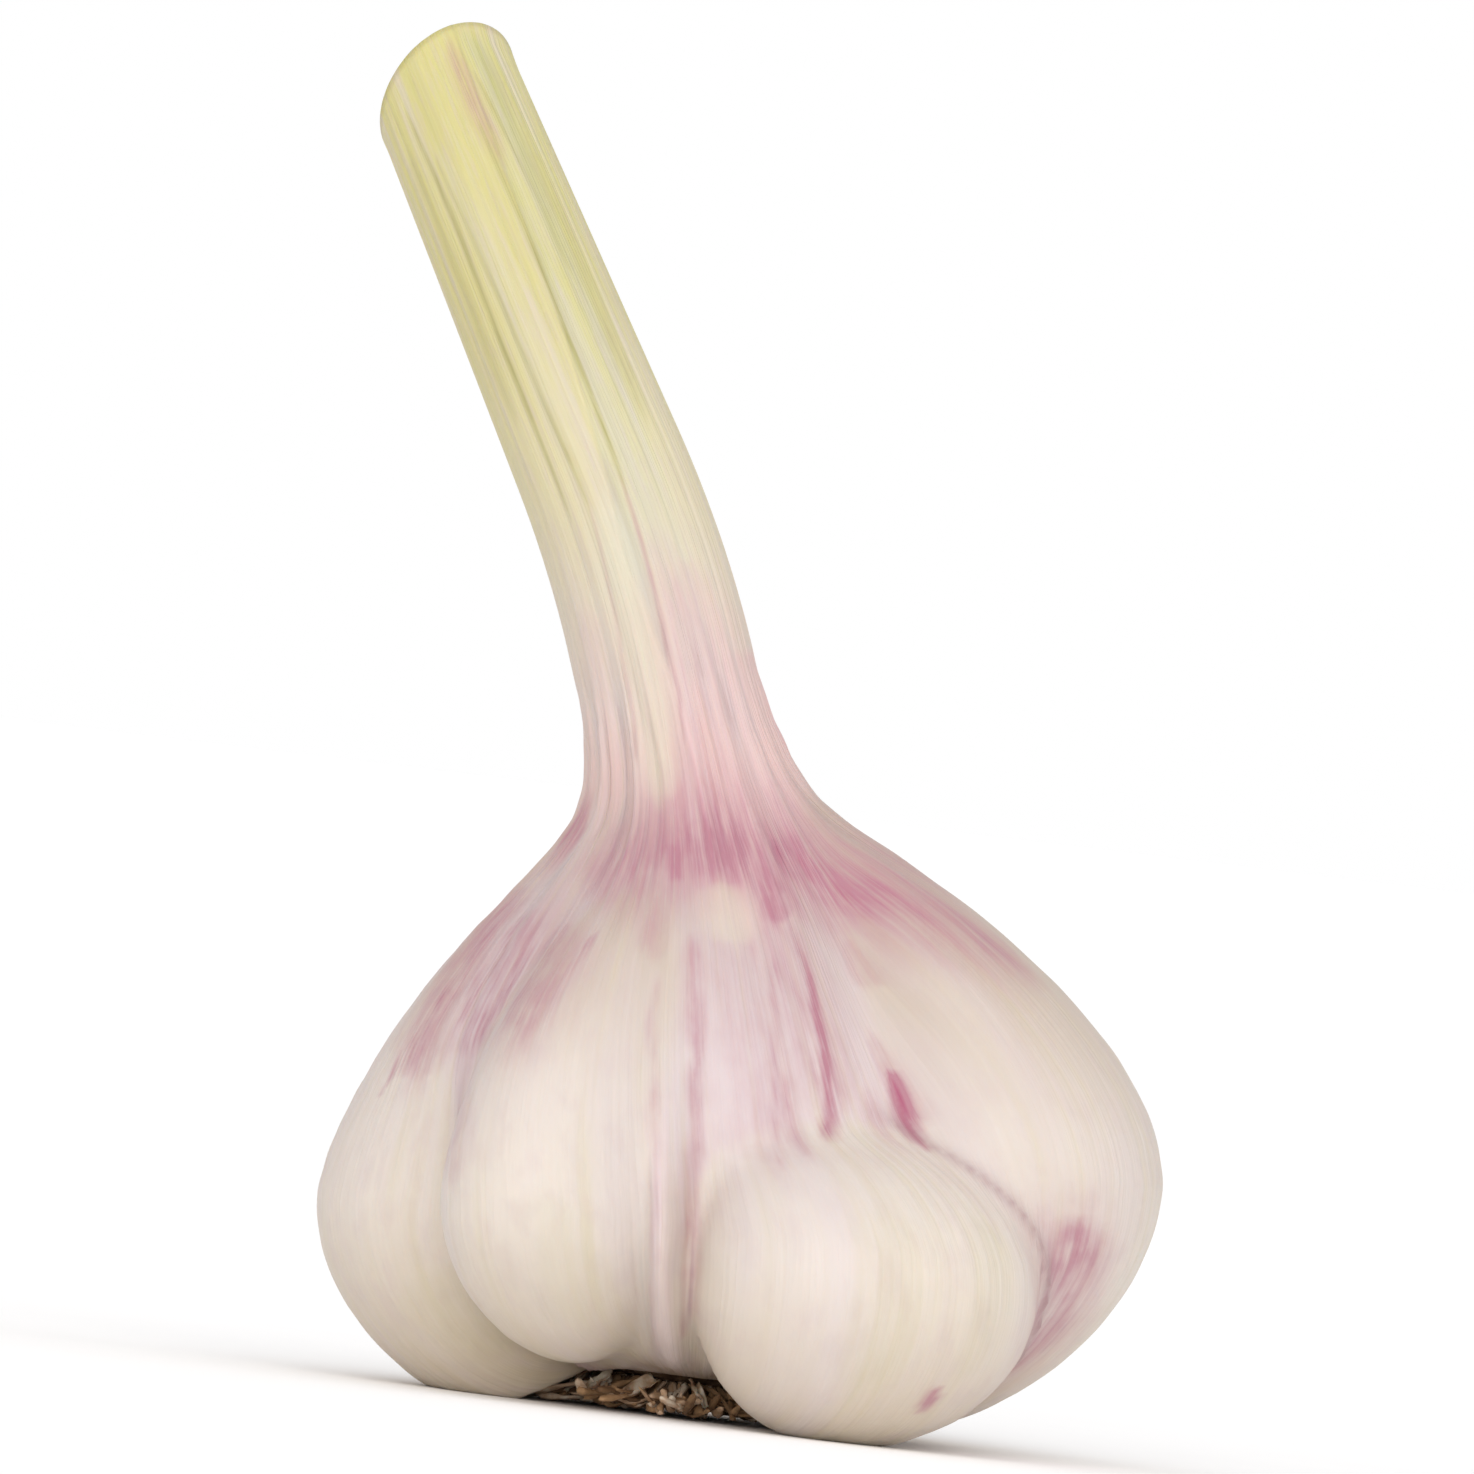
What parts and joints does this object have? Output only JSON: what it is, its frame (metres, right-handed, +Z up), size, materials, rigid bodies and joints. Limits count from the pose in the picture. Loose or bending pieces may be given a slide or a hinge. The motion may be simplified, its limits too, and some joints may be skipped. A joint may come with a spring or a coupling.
{
  "type": "garlic bulb",
  "caption": "Whole garlic bulb with a cut leaning neck: cloves round a stalk on a root plate, wrapped in one papery skin, standing on its clove bottoms.",
  "frame": {"origin": "on the resting plane, at the centre of the bounding box seen from above", "axes": "+Z up from the resting plane; the neck leans towards -X; the low front clove faces -Y"},
  "size_m": [0.0642, 0.056, 0.0968],
  "materials": {
    "skin": "dry papery leaf skin, cream with purple streaks, satin",
    "clove": "smooth clove skin, ivory, satin",
    "stalk": "cut fibrous stalk, pale yellow green, matte",
    "plate": "corky root disc, brown, matte",
    "root": "dried trimmed roots, dark brown, matte"
  },
  "bodies": {
    "root": {"outer_skin": "skin", "clove_left": "clove", "clove_front_left": "clove", "clove_front_right": "clove", "clove_right": "clove", "clove_back_right": "clove", "clove_back_left": "clove", "stalk": "stalk", "root_plate": "plate", "root_01": "root", "root_02": "root", "root_03": "root", "root_04": "root", "root_05": "root", "root_06": "root", "root_07": "root", "root_08": "root", "root_09": "root", "root_10": "root", "root_11": "root", "root_12": "root", "root_13": "root", "root_14": "root", "root_15": "root", "root_16": "root", "root_17": "root", "root_18": "root"}
  },
  "joints": []
}
